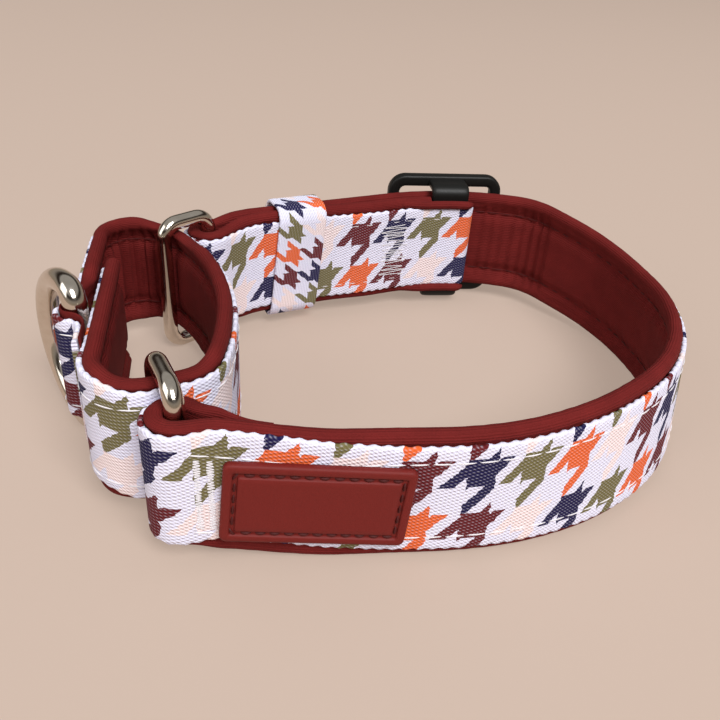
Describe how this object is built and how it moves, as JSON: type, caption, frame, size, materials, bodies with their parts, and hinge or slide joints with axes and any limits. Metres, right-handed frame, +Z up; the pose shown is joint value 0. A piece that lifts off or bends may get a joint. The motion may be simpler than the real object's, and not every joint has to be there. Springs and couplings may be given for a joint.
{
  "type": "martingale collar",
  "caption": "Padded martingale dog collar: printed webbing neck strap with slider and keeper, joined by wire rings to a control loop that carries the leash D-ring.",
  "frame": {"origin": "middle of the collar's footprint, on the table it lies on", "axes": "the label side of the neck strap faces -Y, the D-ring is at -X, +Z is up"},
  "size_m": [0.156, 0.131, 0.0387],
  "materials": {
    "webbing": "printed woven tape",
    "lining": "padded knit",
    "steel": "polished stainless steel",
    "plastic": "moulded, satin",
    "patch": "matte, bare",
    "thread": "sewing thread",
    "dark_thread": "sewing thread"
  },
  "bodies": {
    "band": {"main_webbing": "webbing", "main_lining": "lining", "tail_webbing": "webbing", "tail_lining": "lining", "label_patch": "patch", "label_stitching": "dark_thread", "front_bartack_1": "thread", "front_bartack_2": "thread", "tail_bartack": "thread"},
    "front_ring": {"front_ring": "steel"},
    "rear_ring": {"rear_ring": "steel"},
    "control_loop": {"loop_webbing": "webbing", "loop_lining": "lining", "loop_bartack_front": "thread", "loop_bartack_rear": "thread"},
    "d_ring": {"d_ring": "steel"},
    "slider": {"slider": "plastic"},
    "keeper": {"keeper": "webbing", "keeper_seam": "thread"}
  },
  "joints": [
    {"name": "control_loop_turn", "type": "hinge", "parent": "band", "child": "control_loop", "pos_m": [-0.06545, -0.00021, 0], "axis": [0, 0, 1], "range_deg": [-2.5, 2.5]},
    {"name": "d_ring_swing", "type": "hinge", "parent": "control_loop", "child": "d_ring", "pos_m": [-0.06211, -0.02543, 0], "axis": [0, 0, 1], "range_deg": [-10, 120]},
    {"name": "front_ring_swing", "type": "hinge", "parent": "band", "child": "front_ring", "pos_m": [-0.03331, -0.0582, 0], "axis": [0, 0, 1], "range_deg": [-4, 4]},
    {"name": "rear_ring_swing", "type": "hinge", "parent": "band", "child": "rear_ring", "pos_m": [-0.04431, 0.02327, 0], "axis": [0, 0, 1], "range_deg": [-4, 4]},
    {"name": "slider_shift", "type": "hinge", "parent": "band", "child": "slider", "pos_m": [0.02994, -0.00009, 0], "axis": [0, 0, 1], "range_deg": [-4, 4], "deforming": ["tail_webbing", "tail_lining"]},
    {"name": "keeper_slide", "type": "slide", "parent": "band", "child": "keeper", "axis": [-0.887, -0.4617, 0], "range_m": [-0.004, 0.004]}
  ]
}
